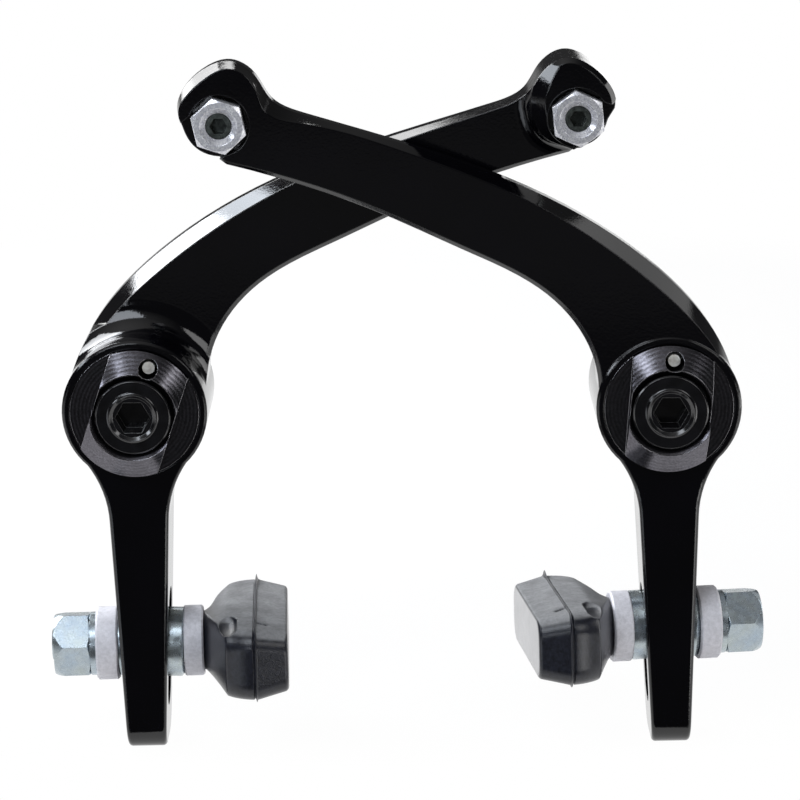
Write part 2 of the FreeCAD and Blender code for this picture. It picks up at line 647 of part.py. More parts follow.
def clamp_centre(height):
    """Middle of the leg at the pad stud, where the ball washers are centred."""
    return (leg_face(height, 1)[0] + leg_face(height, -1)[0]) / 2


def to_stud(shape, height, sign=1, toe=0.0):
    """Turn a piece made along Y so that it lies along the pad stud, +1 facing out."""
    shape.rotate(vec(0, 0, 0), vec(0, 0, 1), -90 if sign > 0 else 90)
    shape.rotate(vec(0, 0, 0), vec(0, 0, 1), toe)
    shape.translate(vec(clamp_centre(height), SLOT_CENTRE, height))
    return shape


def half_width(height):
    """Half of the leg's width at the pad stud."""
    return (leg_face(height, 1)[0] - leg_face(height, -1)[0]) / 2


def ball_radius(height, diameter, rim):
    """Radius of the ball about the clamp centre that leaves a washer's rim."""
    return math.hypot(half_width(height) + rim, diameter / 2)


def ball_washer(height, diameter, rim, sign):
    """A washer flat against the leg with a ball-shaped outer side."""
    base = half_width(height)
    radius = ball_radius(height, diameter, rim)
    ball = Part.makeSphere(radius)
    blank = cylinder(diameter, base, base + radius).common(ball)
    washer = blank.cut(cylinder(DOME_HOLE_D, 0, radius * 2))
    washer = to_stud(washer, height, sign)
    face, slope = leg_face(height, sign)
    washer.rotate(vec(face, SLOT_CENTRE, height), Y_AXIS, slope)
    return washer


def stack(height):
    """Distances from the clamp centre along the stud, outwards and inwards."""
    outer_ring = half_width(height) + DOME_OUTER_RIM + DISH_CLEARANCE
    inner_ring = half_width(height) + DOME_INNER_RIM + DISH_CLEARANCE
    return {
        "outer_ring": outer_ring,
        "washer": outer_ring + DISH_OUTER_T,
        "nut": outer_ring + DISH_OUTER_T + WASHER_T,
        "stud_end": outer_ring + DISH_OUTER_T + WASHER_T + PAD_NUT_HEIGHT + STUD_PROUD,
        "inner_ring": inner_ring,
        "pad": inner_ring + DISH_INNER_T,
    }


def dish_ring(height, side, sizes, start, ball, sign):
    """A ring hollowed by the ball of its washer, lying along the stud."""
    diameter, thickness = sizes
    r = diameter / 2
    blank = revolve([
        (0, start), (r - DISH_EDGE, start), (r, start + DISH_EDGE), (r, start + thickness - DISH_EDGE),
        (r - DISH_EDGE, start + thickness), (0, start + thickness),
    ])
    hollow = Part.makeSphere(ball + DISH_CLEARANCE)
    hole = cylinder(STUD_D + 2 * THREAD_CLEARANCE, 0, start + thickness + 1)
    return to_stud(blank.cut([hollow, hole]), height, sign, PAD_TOE[side])


def flat_washer(height, side):
    """The thin washer under the pad nut."""
    start = stack(height)["washer"]
    ring = cylinder(WASHER_D, start, start + WASHER_T)
    ring = ring.cut(cylinder(STUD_D + 2 * THREAD_CLEARANCE, start - 1, start + WASHER_T + 1))
    return to_stud(ring, height, 1, PAD_TOE[side])


def pad_nut(height, side):
    """The pad's hexagon nut with a long turned taper at its outer end."""
    start = stack(height)["nut"]
    end = start + PAD_NUT_HEIGHT
    nut = chamfered_hexagon(PAD_NUT_AF, start, end, 0.4, PAD_NUT_TAPER, PAD_NUT_TURN)
    nut = nut.cut(cylinder(STUD_D + 2 * THREAD_CLEARANCE, start - 1, end + 1))
    return to_stud(nut, height, 1, PAD_TOE[side])


def stud_solid(height):
    """Stud along Y before it is laid in place: thread, and a plate held by the rubber."""
    levels = stack(height)
    plate = -levels["pad"] - STUD_PLATE_INSET
    return revolve([
        (0, plate - STUD_PLATE_T), (STUD_PLATE_D / 2, plate - STUD_PLATE_T), (STUD_PLATE_D / 2, plate),
        (STUD_D / 2, plate), (STUD_D / 2, levels["stud_end"] - 0.5), (STUD_D / 2 - 0.5, levels["stud_end"]),
        (0, levels["stud_end"]),
    ])


def pad_stud(height, side):
    """The threaded stud that carries the pad."""
    return to_stud(stud_solid(height), height, 1, PAD_TOE[side])


def rounded_section(length, height, corner, depth):
    """A rounded rectangle across Y, length along X and height along Z."""
    a, b, c = length / 2 - corner, height / 2 - corner, corner
    k = c * math.sqrt(0.5)
    pieces = []
    corners = [(a, b, 1, 1), (-a, b, -1, 1), (-a, -b, -1, -1), (a, -b, 1, -1)]
    for i, (cx, cz, sx, sz) in enumerate(corners):
        horizontal_first = i % 2 == 1
        on_side = vec(cx + sx * c, depth, cz)
        on_top = vec(cx, depth, cz + sz * c)
        first, last = (on_top, on_side) if horizontal_first else (on_side, on_top)
        pieces.append(Part.Arc(first, vec(cx + sx * k, depth, cz + sz * k), last).toShape())
    joined = []
    for i, piece in enumerate(pieces):
        following = pieces[(i + 1) % 4]
        joined.append(piece)
        joined.append(Part.makeLine(piece.Vertexes[-1].Point, following.Vertexes[0].Point))
    return Part.Wire(joined)


def brake_pad(height, side):
    """The moulded rubber pad: boat-shaped back, ridge and tapered block."""
    neck = stack(height)["pad"]
    ridge = neck + PAD_NECK_TO_RIDGE
    face = ridge + PAD_RIDGE_TO_FACE
    shares = [(0.0, 0.0), (0.18, 0.16), (0.32, 0.36), (0.52, 0.74), (0.76, 0.95), (1.0, 1.0)]
    sections = []
    for along, spread in shares:
        length = PAD_NECK_D + (PAD_LENGTH - PAD_NECK_D) * spread
        tall = PAD_NECK_D + (PAD_HEIGHT - PAD_NECK_D) * spread
        corner = PAD_CORNER + (PAD_NECK_D / 2 - 0.4 - PAD_CORNER) * (1 - spread)
        sections.append(rounded_section(length, tall, corner, neck + PAD_NECK_TO_RIDGE * along))
    sections.append(rounded_section(PAD_FACE_LENGTH, PAD_FACE_HEIGHT, PAD_CORNER, face))
    body = Part.makeLoft(sections, True, True)
    stud = stud_solid(height)
    stud.rotate(vec(0, 0, 0), vec(0, 0, 1), 180)
    return to_stud(body.cut(stud), height, -1, PAD_TOE[side])


def place(shape, side):
    """Set a finished piece at its side's pivot."""
    shape.translate(vec(STUD_SPACING / 2, 0, 0))
    if side == "left":
        shape = shape.mirror(vec(0, 0, 0), vec(1, 0, 0))
    return shape


def leg_pieces(side):
    """Everything that is clamped in the leg's slot, before the leg leans."""
    h = PAD_HEIGHT_ON_ARM[side]
    levels = stack(h)
    inner_ball = ball_radius(h, DOME_INNER_D, DOME_INNER_RIM)
    outer_ball = ball_radius(h, DOME_OUTER_D, DOME_OUTER_RIM)
    return {
        "inner_dome_washer": ball_washer(h, DOME_INNER_D, DOME_INNER_RIM, -1),
        "outer_dome_washer": ball_washer(h, DOME_OUTER_D, DOME_OUTER_RIM, 1),
        "inner_dish_ring": dish_ring(h, side, DISH_INNER, levels["inner_ring"], inner_ball, -1),
        "outer_dish_ring": dish_ring(h, side, DISH_OUTER, levels["outer_ring"], outer_ball, 1),
        "flat_washer": flat_washer(h, side),
        "pad_nut": pad_nut(h, side),
        "pad_stud": pad_stud(h, side),
        "brake_pad": brake_pad(h, side),
    }


def side_pieces(side):
    """All pieces of one side by name, around their own pivot."""
    pieces = {
        "arm": arm(side),
        "pivot_bush": pivot_bush(),
        "pivot_sleeve": pivot_sleeve(),
        "spring_adjuster": spring_adjuster(side),
        "return_spring": return_spring(side),
        "pivot_bolt": pivot_bolt(),
        "anchor_bolt": anchor_bolt(side),
        "anchor_washer": anchor_washer(side),
        "anchor_nut": anchor_nut(side),
    }
    for name, shape in leg_pieces(side).items():
        pieces[name] = lean(shape, side)
    return pieces


def main():
    """Write every piece of both sides to its own file."""
    os.makedirs("parts", exist_ok=True)
    for side in SIDES:
        for name, shape in side_pieces(side).items():
            place(shape, side).exportStep(f"parts/{side}_{name}.step")


main()
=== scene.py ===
import json
import math

import bpy
import numpy as np
from mathutils import Matrix, Quaternion, Vector

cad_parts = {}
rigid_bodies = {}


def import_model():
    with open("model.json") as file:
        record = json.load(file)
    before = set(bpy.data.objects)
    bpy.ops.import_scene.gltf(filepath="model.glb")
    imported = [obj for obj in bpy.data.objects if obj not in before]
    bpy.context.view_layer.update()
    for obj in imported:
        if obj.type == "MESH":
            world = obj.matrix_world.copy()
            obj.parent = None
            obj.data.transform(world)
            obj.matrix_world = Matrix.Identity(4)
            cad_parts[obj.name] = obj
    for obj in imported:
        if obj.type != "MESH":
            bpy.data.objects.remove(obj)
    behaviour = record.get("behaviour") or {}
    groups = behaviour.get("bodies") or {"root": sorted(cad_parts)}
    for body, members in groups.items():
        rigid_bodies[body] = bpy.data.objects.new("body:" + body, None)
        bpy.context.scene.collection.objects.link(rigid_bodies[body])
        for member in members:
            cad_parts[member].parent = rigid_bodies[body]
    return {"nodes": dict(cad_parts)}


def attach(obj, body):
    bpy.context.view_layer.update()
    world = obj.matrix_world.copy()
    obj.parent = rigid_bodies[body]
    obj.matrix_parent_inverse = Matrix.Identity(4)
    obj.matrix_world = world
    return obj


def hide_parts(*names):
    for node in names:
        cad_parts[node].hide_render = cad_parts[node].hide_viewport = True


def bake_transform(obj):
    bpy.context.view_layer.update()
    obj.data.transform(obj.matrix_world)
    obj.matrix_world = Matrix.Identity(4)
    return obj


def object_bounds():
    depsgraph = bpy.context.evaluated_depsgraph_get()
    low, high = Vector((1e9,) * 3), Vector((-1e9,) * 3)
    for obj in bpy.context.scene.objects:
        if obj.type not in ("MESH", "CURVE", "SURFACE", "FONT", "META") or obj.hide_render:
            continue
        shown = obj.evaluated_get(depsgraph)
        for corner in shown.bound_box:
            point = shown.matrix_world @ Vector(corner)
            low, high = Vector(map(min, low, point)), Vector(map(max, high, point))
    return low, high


# Blender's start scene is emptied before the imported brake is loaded.
for leftover in list(bpy.data.objects):
    bpy.data.objects.remove(leftover)
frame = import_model()
CAD_BOX = [list(corner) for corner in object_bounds()]

bl_info = {
    "name": "Crossed-arm rim brake",
    "version": (1, 0, 0),
    "blender": (4, 5, 0),
    "location": "3D View > Sidebar > Rim brake",
    "description": "Dresses the packed rim brake with its finishes, rubber pads and studio",
    "category": "Object",
}

# Lengths are in millimetres and angles in degrees, unless a line says otherwise.
MM = 0.001
SIDES = ("left", "right")

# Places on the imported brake: its pivots, its pad studs and the sides of its legs at foot and shoulder.
PIVOT_OUT = 43.5
STUD_DEPTH = -15.0
FOOT, SHOULDER = -58.2, -18.5
LEG_OUTER, LEG_INNER = (3.4, 4.85), (-2.95, -4.85)

# How each pad stands: height and toe of its stud, lean of its leg, and pitch about the stud.
PAD_STANCE = {"left": (-41.0, -1.9, 0.75, 0.0), "right": (-38.7, 5.4, -0.75, 4.0)}
PAD_STANDOFF = 5.75

# The turn of a sharp edge on a spring.
SPRING_SHARP = 40.0

# Rows and columns of the pad's surface, and the band about the flash line where its rows lie close together.
BACK_ROWS, FLASH_ROWS, BLOCK_ROWS, EDGE_ROWS, FACE_RINGS = 52, 17, 18, 9, 10
PAD_COLUMNS = 4 * 96
FLASH_BAND, ROW_GAP = (-0.5, 0.3), 0.1

# The pad's near end: a flare at the neck, then a slope that ends inside the flash line.
FLARE_DEPTH, FLARE = 0.35, 0.5
SLOPE_END, SLOPE_INSET = 3.95, 1.7

# Curves of the pad's far end and top, as depth and offset from the neck, then depth and inset from the flash.
FAR_FROM_NECK, FAR_TO_FLASH = ((1.0, 1.6), (2.0, 7.4)), ((3.6, 2.0), (5.4, 0.5), (7.0, 0.1))
TOP_FROM_NECK, TOP_TO_FLASH = ((1.2, 0.12), (2.6, 0.4)), ((4.2, 0.22), (5.6, 0.08), (7.0, 0.02))

# The braking block: its taper along the rim and in height, and the rounding at its face.
TAPER_LONG, TAPER_TALL = 1.4, 1.1
FACE_ROUND = 0.6

# The flash line's width, and the groove beside it.
FLASH_WIDTH = 0.11
GROOVE_DEPTH, GROOVE_BEFORE, GROOVE_WIDTH = 0.18, 0.27, 0.12

# The tag and the slanted cut lie on the pad's upper side, which fades in above a height.
UPPER_FROM, UPPER_OVER = 3.0, 1.5
TAG_HEIGHT, TAG_WIDTH, TAG_INSET, TAG_LENGTH = 0.7, 0.26, 3.2, 2.2
CUT_DEPTH, CUT_WIDTH, CUT_NEARER, CUT_SLANT = 0.9, 0.34, 10.5, 0.35
CUT_PAST_FLASH, CUT_LENGTH = 1.0, 0.9

# The thumb scoops: depth, distance along the rim and height of the ball, its half length and where it stops.
SCOOP_DEPTH, SCOOP_ALONG, SCOOP_UP = 4.0, 11.4, 6.8
SCOOP_HALF_LENGTH, SCOOP_LIMIT = 6.0, 5.7

# Painted light on the pad, a grey where it looks up: how far up block and back must look, how it fades in,
# how it fades in from the neck, and the size of the painted shade in a scoop and what it keeps of the grey.
PAINTED_LIGHT_BLOCK, PAINTED_LIGHT_BACK, PAINTED_LIGHT_OVER = 0.58, 0.72, 0.14
PAINTED_LIGHT_NECK, PAINTED_LIGHT_NECK_OVER = 0.4, 4.0
SCOOP_SHADE_DEEP, SCOOP_SHADE_LONG, SCOOP_LIGHT_KEPT = 1.7, 4.0, 0.15

# The braking face's pale colour: how far from the face it starts and over what depth it fades in.
FACE_SKIN, FACE_SKIN_OVER = 0.12, 0.1

# Finishes: the range of even noise, the cosines of a worn and a whole edge, the samples of an eased edge, and
# the colours of worn edges.
NOISE_RANGE = (0.3, 0.7)
WORN_RANGE = (0.90, 0.995)
BEVEL_SAMPLES = 6
BARE_EDGE = (0.42, 0.41, 0.43, 1.0)
RUBBED_EDGE = (0.12, 0.115, 0.115, 1.0)

# The floor: its drop under the brake, how far it comes forward, its fading edge, its rings and its whiteness.
FLOOR_DROP, FLOOR_FORWARD, FLOOR_FADE = 0.2, 30.0, 60.0
FLOOR_RINGS, FLOOR_COLUMNS, FLOOR_INNER = 12, 96, 0.05
FLOOR_WHITE = 0.92

# Lamps: their distance in metres and their tints.
LAMP_AWAY = 0.6
NEUTRAL = (1.0, 1.0, 1.0)
COOL = (0.86, 0.92, 1.0)
PALE = (0.95, 0.97, 1.0)

# What the camera sees behind the brake.
WHITE = (1.0, 1.0, 1.0, 1.0)

# The room: its grey, that of its top, and the share of it that the top has at the right.
ROOM_GREY, TOP_GREY, TOP_RIGHT = 0.04, 0.6, 0.2

# Ranges of a direction's coordinates: over the backdrop's upper edge, past its sides and under the brake,
# then up to the room's top and across it.
BACKDROP_EDGE, BACKDROP_SIDES, BACKDROP_UNDER = (-0.34, 0.02), (-0.75, -0.25), (-0.80, -0.62)
TOP_RANGE, TOP_ACROSS = (0.5, 1.0), (-0.3, 0.5)

# The camera: the depth it aims at, its aim's shift across and up the picture, its sensor, and its clipping
# in metres.
AIM_DEPTH = -22.0
AIM_ACROSS, AIM_RISE = -0.293, 1.707
SENSOR_WIDTH = 36.0
CLIP_START, CLIP_END = 0.02, 20.0


def colour_prop(name, description, default):
    """A colour that the user can change, in linear light."""
    return bpy.props.FloatVectorProperty(
        name=name, description=description, default=default, size=3, subtype="COLOR", min=0.0, max=1.0)


def length_prop(name, description, millimetres):
    """A length that the user can change, kept in metres."""
    return bpy.props.FloatProperty(
        name=name, description=description, default=millimetres * MM, subtype="DISTANCE", unit="LENGTH",
        precision=5)


def angle_prop(name, description, degrees):
    """An angle that the user can change, kept in radians."""
    return bpy.props.FloatProperty(
        name=name, description=description, default=math.radians(degrees), subtype="ANGLE", unit="ROTATION")


class BrakeFinishes(bpy.types.PropertyGroup):
    """Colours of the brake's finishes."""

    arm_black: colour_prop("Arm black", "Gloss black of the two forged arms", (0.0010, 0.0009, 0.0018))
    cap_black: colour_prop(
        "Cap black", "Blackened steel of the turned spring adjusters", (0.128, 0.124, 0.140))
    bolt_black: colour_prop("Bolt black", "Black oxide of the pivot bolts", (0.004, 0.004, 0.005))
    zinc: colour_prop("Zinc", "Bright zinc plate of nuts, washers and studs", (0.48, 0.545, 0.585))
    nut_zinc: colour_prop("Nut zinc", "Dull zinc of the anchor nuts", (0.85, 0.85, 0.98))
    bolt_steel: colour_prop("Bolt steel", "Oiled dark steel of the anchor bolts", (0.07, 0.08, 0.074))
    ring_silver: colour_prop("Ring silver", "Matt silver of the dished rings", (0.80, 0.79, 0.84))
    spring_steel: colour_prop("Spring steel", "Bare wire of the return springs", (0.90, 0.85, 0.77))
    bronze: colour_prop("Bush bronze", "Bearing bronze of the pivot bushes", (0.40, 0.24, 0.10))
    rubber: colour_prop("Pad rubber", "Moulded black rubber", (0.010, 0.011, 0.017))
    # Painted light: the grey painted on the pads where they look up, in place of the light falling on their
    # upper sides.
    painted_top_light: colour_prop("Rubber bloom", "Grey dust on the rubber's upper sides", (0.27, 0.272, 0.278))
    face: colour_prop("Braking face", "Pale unmoulded braking face", (0.43, 0.42, 0.42))


class PadSizes(bpy.types.PropertyGroup):
    """Sizes of a moulded rubber pad."""

    length: length_prop("Length", "Length of the pad along the rim, with its flash line", 35.5)
    height: length_prop("Height", "Height of the pad, with its flash line", 12.6)
    neck: length_prop("Neck", "Diameter of the round neck against the dished ring", 9.7)
    back: length_prop("Back", "Depth of the boat-shaped back, from neck to flash line", 8.8)
    block: length_prop("Block", "Depth of the braking block, from flash line to face", 5.3)
    flash: length_prop("Flash", "How far the moulding flash stands proud", 0.3)
    scoop: length_prop("Scoop", "Radius of the ball that presses the thumb scoops beside the neck", 2.3)


class StudioSizes(bpy.types.PropertyGroup):
    """Sizes of the studio around the brake."""

    floor: length_prop("Floor", "Radius of the pale floor", 260.0)
    lens: bpy.props.FloatProperty(
        name="Lens", description="Focal length on a 36 mm wide sensor, in millimetres", default=143.91,
        min=20.0)
    distance: length_prop("Distance", "Distance from the camera to the brake", 520.0)
    elevation: angle_prop("Elevation", "Height of the camera above the horizon", 13.0)
    roll: angle_prop("Roll", "Turn of the camera about its line of sight", 0.53)


class NodeBench:
    """A short way to lay out one material's nodes."""

    material = None

    def __init__(self, name):
        self.material = bpy.data.materials.new(name)
        self.material.use_nodes = True
        self.tree = self.material.node_tree
        self.shader = self.tree.nodes["Principled BSDF"]
        self.place = self.add("ShaderNodeTexCoord").outputs["Object"]

    def add(self, kind, **settings):
        """A node with its settings; a setting whose name is an input sets or links that input."""
        node = self.tree.nodes.new(kind)
        for key, value in settings.items():
            if key in node.inputs:
                self.put(node.inputs[key], value)
            else:
                setattr(node, key, value)
        return node

    def put(self, socket, value):
        """Link an output to a socket, or set the socket to a plain value."""
        if isinstance(value, bpy.types.NodeSocket):
            self.tree.links.new(value, socket)
        else:
            socket.default_value = value

    def dress(self, **values):
        """Set or link the shader's own sockets, named with underscores for spaces."""
        for key, value in values.items():
            self.put(self.shader.inputs[key.replace("_", " ")], value)
        return self.material

    def noise(self, scale, detail=3.0, rough=0.5):
        """Even noise over the piece."""
        return self.add("ShaderNodeTexNoise", Vector=self.place, Scale=scale, Detail=detail,
                        Roughness=rough).outputs["Fac"]

    def counted_from(self, point):
        """Object coordinates counted from a point, which is in metres."""
        return self.add("ShaderNodeMapping", vector_type="TEXTURE", Vector=self.place,
                        Location=point).outputs["Vector"]

    def lathe_rings(self, place, scale, distortion, detail):
        """Uneven rings about the y axis, as turning leaves them."""
        return self.add("ShaderNodeTexWave", wave_type="RINGS", rings_direction="Y", Vector=place,
                        Scale=scale, Distortion=distortion, Detail=detail).outputs["Fac"]

    def ramp(self, source, stops):
        """A colour ramp from (position, colour) stops."""
        node = self.add("ShaderNodeValToRGB", Fac=source)
        elements = node.color_ramp.elements
        while len(elements) < len(stops):
            elements.new(0.5)
        for element, (position, colour) in zip(elements, stops):
            element.position = position
            element.color = (*colour, 1.0)
        return node.outputs["Color"]

    def tones(self, source, colour, dark, light, low=NOISE_RANGE[0], high=NOISE_RANGE[1]):
        """A colour that goes from a darker to a lighter shade of itself as a source goes from low to high."""
        return self.ramp(source, [(low, shade(colour, dark)), (high, shade(colour, light))])

    def level(self, source, low, high, start=0.0, end=1.0):
        """A number mapped from the range start to end onto the range low to high."""
        node = self.add("ShaderNodeMapRange")
        self.put(node.inputs["Value"], source)
        node.inputs["From Min"].default_value = start
        node.inputs["From Max"].default_value = end
        node.inputs["To Min"].default_value = low
        node.inputs["To Max"].default_value = high
        return node.outputs["Result"]

    def uneven(self, scale, low, high):
        """A number that wanders from low to high with even noise."""
        return self.level(self.noise(scale), low, high, *NOISE_RANGE)

    def mixed(self, factor, first, second):
        """Two colours mixed by a factor."""
        node = self.add("ShaderNodeMix", data_type="RGBA")
        self.put(node.inputs["Factor"], factor)
        colours = [socket for socket in node.inputs if socket.type == "RGBA"]
        self.put(colours[0], first)
        self.put(colours[1], second)
        return [socket for socket in node.outputs if socket.type == "RGBA"][0]

    def joined(self, operation, first, second):
        """Two numbers joined by an operation."""
        node = self.add("ShaderNodeMath", operation=operation)
        self.put(node.inputs[0], first)
        self.put(node.inputs[1], second)
        return node.outputs[0]

    def ray_kinds(self):
        """Whether a ray comes from the camera, and whether it comes off or through a shiny surface."""
        path = self.add("ShaderNodeLightPath").outputs
        mirrored = self.joined("MAXIMUM", path["Is Glossy Ray"], path["Is Transmission Ray"])
        return path["Is Camera Ray"], mirrored

    def edges(self, radius):
        """One on the piece's sharp edges, nought a radius away from them."""
        dot = self.add("ShaderNodeVectorMath", operation="DOT_PRODUCT")
        self.put(dot.inputs[0], self.rounded(radius))
        self.put(dot.inputs[1], self.add("ShaderNodeNewGeometry").outputs["Normal"])
        return self.level(dot.outputs["Value"], 1.0, 0.0, *WORN_RANGE)

    def rounded(self, radius):
        """A normal that is eased over the piece's sharp edges."""
        return self.add("ShaderNodeBevel", samples=BEVEL_SAMPLES, Radius=radius * MM).outputs["Normal"]

    def bump(self, height, strength, distance, normal=None):
        """A bump from a height, over an earlier normal where one is given."""
        node = self.add("ShaderNodeBump", Strength=strength, Distance=distance * MM, Height=height)
        if normal is not None:
            self.put(node.inputs["Normal"], normal)
        return node.outputs["Normal"]


class RoomBench(NodeBench):
    """The same short way to lay out a world's nodes."""

    def __init__(self, world):
        world.use_nodes = True
        self.tree = world.node_tree
        self.shader = self.tree.nodes["Background"]
        self.place = self.add("ShaderNodeTexCoord").outputs["Generated"]


def shade(colour, factor):
    """A colour made lighter or darker."""
    return tuple(min(1.0, part * factor) for part in colour)


def pivot_out(side):
    """How far to the right a side's pivot stands, in metres."""
    return (PIVOT_OUT if side == "right" else -PIVOT_OUT) * MM


def gloss_black(colour):
    """Gloss black paint with a fine orange peel."""
    b = NodeBench("gloss_black")
    tone = b.tones(b.noise(90.0, 4.0), colour, 0.8, 1.4, high=0.75)
    normal = b.bump(b.noise(420.0, 2.0), 0.05, 0.05, b.rounded(0.3))
    normal = b.bump(b.noise(2600.0, 2.0), 0.45, 0.02, normal)
    return b.dress(Base_Color=tone, Roughness=b.uneven(220.0, 0.05, 0.10), Normal=normal, IOR=1.56)


def turned_black(colour, side):
    """Blackened turned steel: fine rings about the pivot's axis and bare, bright edges."""
    b = NodeBench("turned_black_" + side)
    place = b.counted_from((pivot_out(side), 0.0, 0.0))
    rings = b.lathe_rings(place, 520.0, 1.2, 2.0)
    coarse = b.lathe_rings(place, 150.0, 2.5, 3.0)
    speckle = b.noise(3200.0, 3.0, 0.7)
    normal = b.bump(coarse, 0.10, 0.05, b.rounded(0.1))
    normal = b.bump(rings, 0.16, 0.02, normal)
    normal = b.bump(speckle, 0.16, 0.02, normal)
    tone = b.mixed(b.edges(0.09), b.tones(speckle, colour, 0.7, 1.4, low=0.35), BARE_EDGE)
    return b.dress(Base_Color=tone, Metallic=1.0, Roughness=b.level(rings, 0.14, 0.24), Normal=normal)


def black_oxide(colour):
    """Smooth black oxide with faint mottling and rubbed edges."""
    b = NodeBench("black_oxide")
    tone = b.mixed(b.edges(0.09), b.tones(b.noise(400.0), colour, 0.7, 1.6, low=0.35), RUBBED_EDGE)
    normal = b.bump(b.noise(1800.0, 2.0), 0.06, 0.03, b.rounded(0.15))
    return b.dress(Base_Color=tone, Roughness=b.uneven(600.0, 0.08, 0.16), Normal=normal, IOR=1.7)


def zinc_plate(colour):
    """Bright zinc plate with clouds of blue and yellow and fine speckle."""
    b = NodeBench("zinc_plate")
    clouds = b.ramp(b.noise(260.0, 4.0, 0.6), [
        (0.25, (colour[0] * 0.84, colour[1] * 0.90, colour[2] * 1.0)), (0.5, colour),
        (0.75, (colour[0] * 1.06, colour[1] * 1.03, colour[2] * 0.93))])
    speckle = b.noise(3000.0, 3.0, 0.7)
    tone = b.mixed(b.level(speckle, 0.0, 0.35, 0.45, 0.75), clouds, (*shade(colour, 0.5), 1.0))
    normal = b.bump(speckle, 0.12, 0.02, b.rounded(0.12))
    return b.dress(Base_Color=tone, Metallic=0.85, Roughness=b.uneven(900.0, 0.20, 0.34), Normal=normal)


def dull_zinc(colour):
    """Grainy zinc of the anchor nuts, duller than the plate."""
    b = NodeBench("dull_zinc")
    speckle = b.noise(3600.0, 3.0, 0.7)
    tone = b.tones(speckle, colour, 0.6, 1.25, low=0.32, high=0.68)
    normal = b.bump(speckle, 0.25, 0.02, b.rounded(0.15))
    return b.dress(Base_Color=tone, Metallic=0.55, Roughness=b.uneven(900.0, 0.20, 0.30), Normal=normal)


def dark_steel(colour):
    """Oiled dark steel of the anchor bolts."""
    b = NodeBench("dark_steel")
    tone = b.tones(b.noise(1200.0, 4.0), colour, 0.5, 1.5)
    normal = b.bump(b.noise(2400.0), 0.15, 0.02, b.rounded(0.1))
    return b.dress(Base_Color=tone, Metallic=0.6, Roughness=b.uneven(700.0, 0.22, 0.4), Normal=normal)


def satin_silver(colour):
    """Tumbled matt silver."""
    b = NodeBench("satin_silver")
    grain = b.noise(1500.0, 4.0, 0.7)
    tone = b.tones(grain, colour, 0.85, 1.12)
    normal = b.bump(grain, 0.22, 0.03, b.rounded(0.2))
    return b.dress(Base_Color=tone, Metallic=0.15, Roughness=b.uneven(500.0, 0.45, 0.60), Normal=normal)


def drawn_wire(colour):
    """Bare drawn wire with a brown tint."""
    b = NodeBench("drawn_wire")
    tone = b.tones(b.noise(900.0, 4.0), colour, 0.6, 1.2)
    normal = b.bump(b.noise(1700.0), 0.15, 0.03)
    return b.dress(Base_Color=tone, Metallic=0.1, Roughness=b.uneven(700.0, 0.25, 0.42), Normal=normal)


def bearing_bronze(colour):
    """Plain bearing bronze."""
    b = NodeBench("bearing_bronze")
    tone = b.tones(b.noise(500.0, 4.0), colour, 0.75, 1.2)
    normal = b.bump(b.noise(1400.0), 0.1, 0.03)
    return b.dress(Base_Color=tone, Metallic=1.0, Roughness=b.uneven(900.0, 0.3, 0.45), Normal=normal)


def pad_rubber(finishes):
    """Moulded rubber: black, with painted light, a grey where the pad's own attribute says it looks up, and a
    pale face.
    """
    b = NodeBench("pad_rubber")
    painted_light_share = b.add("ShaderNodeAttribute", attribute_name="painted_top_light").outputs["Fac"]
    worn = b.add("ShaderNodeAttribute", attribute_name="face").outputs["Fac"]
    grain = b.noise(1500.0, 4.0, 0.7)
    black = b.tones(grain, finishes.rubber, 0.4, 1.9)
    # The painted light: a grey where the pad looks up, shared out by its attribute and broken by the grain.
    painted_light_grey = b.tones(b.noise(260.0, 4.0, 0.6), finishes.painted_top_light, 0.75, 1.2)
    pale = b.tones(b.noise(500.0, 5.0, 0.7), finishes.face, 0.86, 1.08)
    grained_light_share = b.joined("MULTIPLY", painted_light_share, b.level(grain, 0.75, 1.1, *NOISE_RANGE))
    tone = b.mixed(worn, b.mixed(grained_light_share, black, painted_light_grey), pale)
    normal = b.bump(grain, 0.5, 0.05)
    normal = b.bump(b.noise(3600.0, 3.0, 0.7), 0.6, 0.03, normal)
    return b.dress(Base_Color=tone, Roughness=b.level(painted_light_share, 0.28, 0.78), Normal=normal)


def new_piece(name, points, faces, material, attributes=None):
    """A smooth mesh object at the origin from points in millimetres, with numbers per point as attributes."""
    mesh = bpy.data.meshes.new(name)
    mesh.from_pydata((points * MM).tolist(), [], faces)
    for label, values in (attributes or {}).items():
        layer = mesh.attributes.new(label, "FLOAT", "POINT")
        layer.data.foreach_set("value", np.ascontiguousarray(values, dtype=np.float32))
    mesh.materials.append(material)
    mesh.validate()
    mesh.shade_smooth()
    piece = bpy.data.objects.new(name, mesh)
    bpy.context.scene.collection.objects.link(piece)
    return piece


def ring_quads(rows, columns):
    """Quads between neighbouring rings, where each row of points is one closed ring."""
    row, column = np.meshgrid(np.arange(rows - 1), np.arange(columns), indexing="ij")
    beside = (column + 1) % columns
    return np.stack([row * columns + column, row * columns + beside,
                     (row + 1) * columns + beside, (row + 1) * columns + column], axis=-1).reshape(-1, 4)


def tube_faces(rows, columns):
    """Quads of a closed tube of rows by columns, with a fan to one pole vertex at each end."""
    around = np.arange(columns)
    first, last = rows * columns, rows * columns + 1
    end = (rows - 1) * columns
    start_fan = np.stack([np.full(columns, first), (around + 1) % columns, around], axis=-1)
    end_fan = np.stack([np.full(columns, last), end + around, end + (around + 1) % columns], axis=-1)
    return ring_quads(rows, columns).tolist() + start_fan.tolist() + end_fan.tolist()


